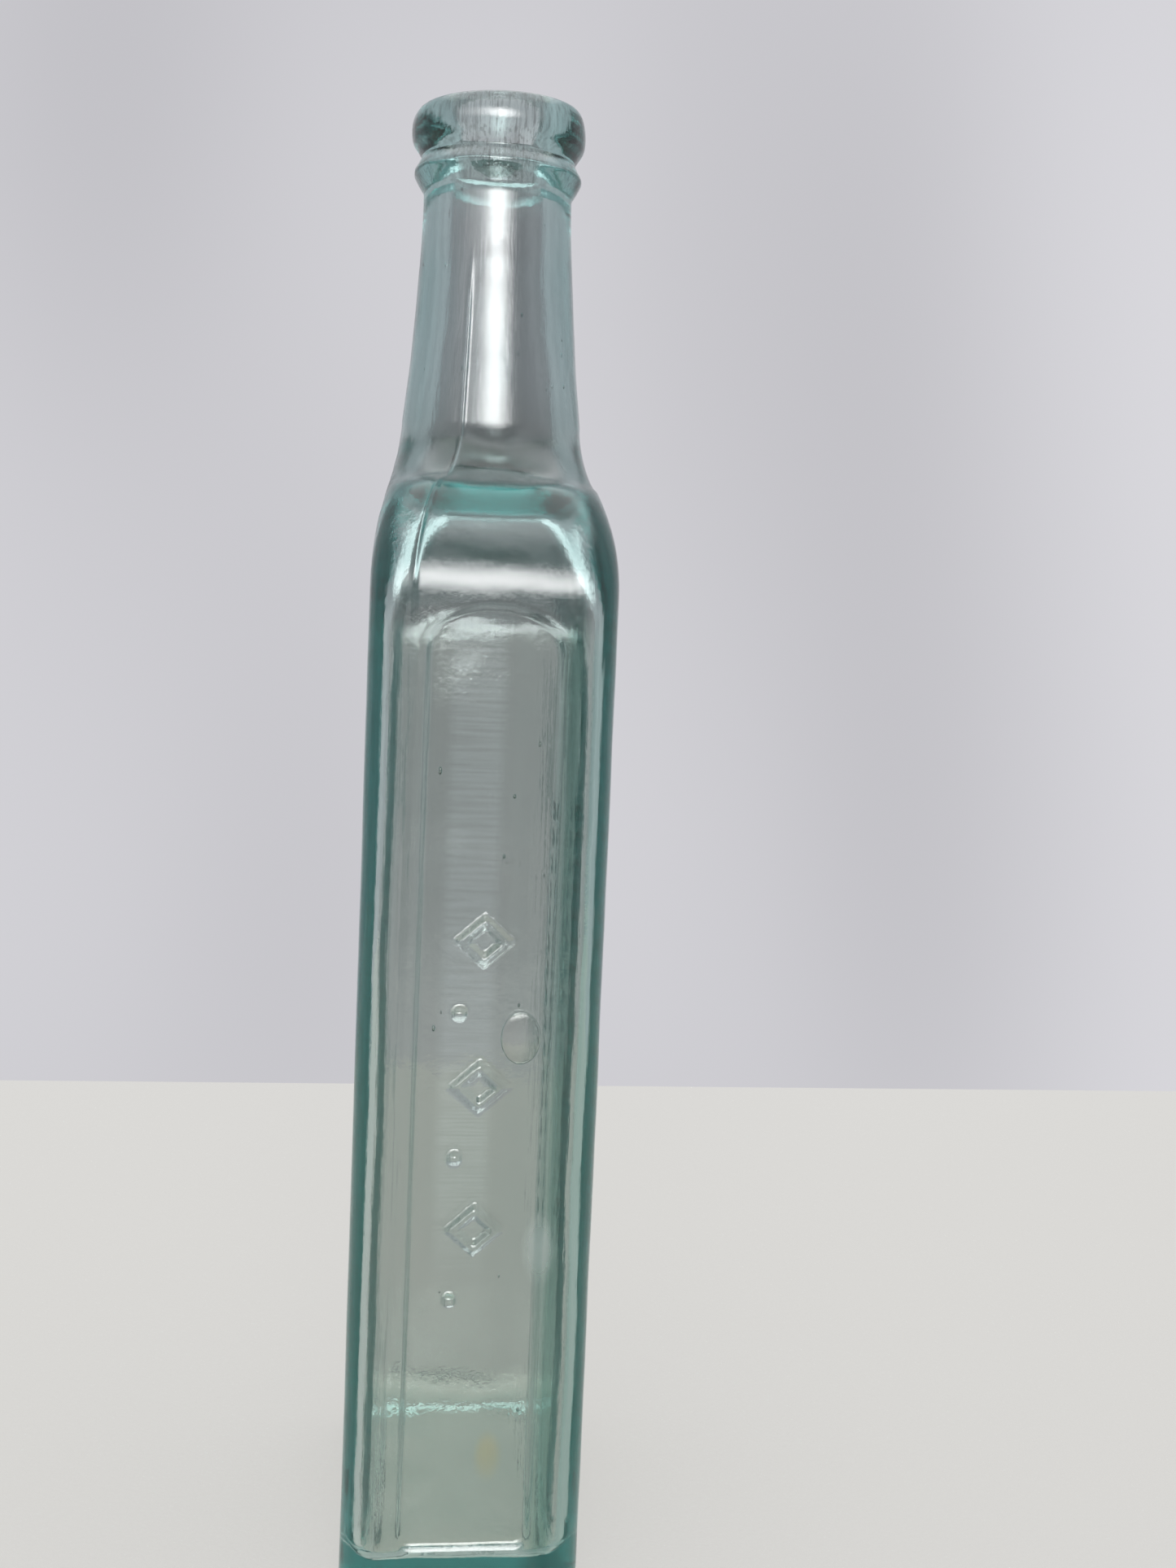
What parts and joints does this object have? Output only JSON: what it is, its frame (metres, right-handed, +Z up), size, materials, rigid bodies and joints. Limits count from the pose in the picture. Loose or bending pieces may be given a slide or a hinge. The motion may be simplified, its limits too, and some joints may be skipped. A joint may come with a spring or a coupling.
{
  "type": "panelled glass bottle",
  "caption": "Tall rectangular aqua glass bottle with rounded corners, sunken arched panels, a round neck and a double-ring cork finish, open at the mouth.",
  "frame": {"origin": "middle of the base, on the surface the bottle stands on", "axes": "+Z up out of the mouth; +X across the narrow side, towards the embossed broad face; +Y along the broad side, away from the narrow side that carries the lozenges"},
  "size_m": [0.038, 0.0652, 0.2365],
  "materials": {
    "aqua_glass": "clear aqua glass, lightly worn, with seeds and a faint haze"
  },
  "bodies": {
    "root": {"bottle": "aqua_glass"}
  },
  "joints": []
}
